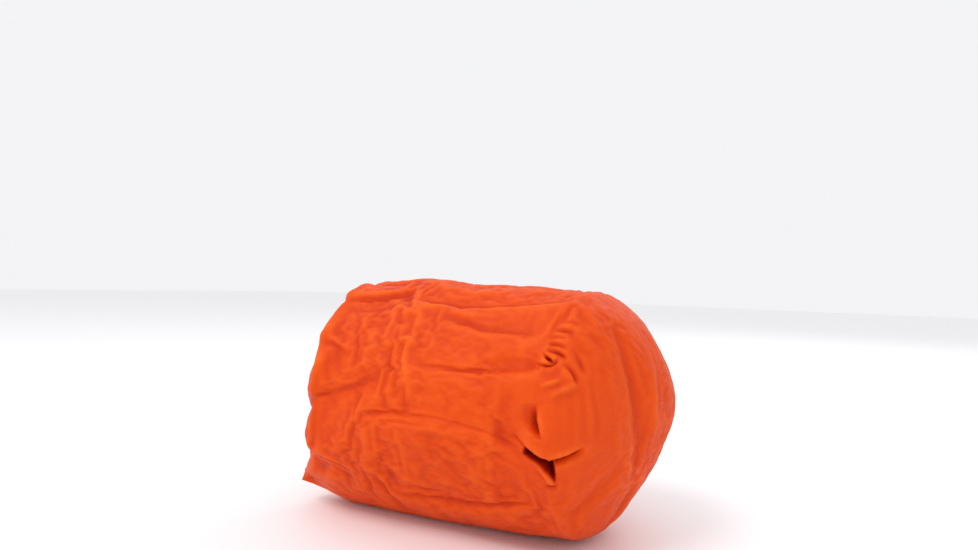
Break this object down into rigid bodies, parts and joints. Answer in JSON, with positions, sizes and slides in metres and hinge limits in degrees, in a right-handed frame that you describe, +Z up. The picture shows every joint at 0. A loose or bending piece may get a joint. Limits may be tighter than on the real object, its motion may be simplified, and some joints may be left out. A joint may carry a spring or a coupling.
{
  "type": "packed emergency sleeping bag",
  "caption": "Folded emergency sleeping bag stuffed into a light woven sack: a soft bundle lying on its side, with one round end and one flat-sewn end.",
  "frame": {"origin": "middle of the bounding box at floor level, under the middle of the lying sack", "axes": "+X along the sack towards its round end, +Y to the back, +Z up; the front is -Y"},
  "size_m": [0.1208, 0.0776, 0.0789],
  "materials": {
    "sack_cloth": "finely woven orange cloth with a soft sheen"
  },
  "bodies": {
    "root": {"packed_sack": "sack_cloth"}
  },
  "joints": []
}
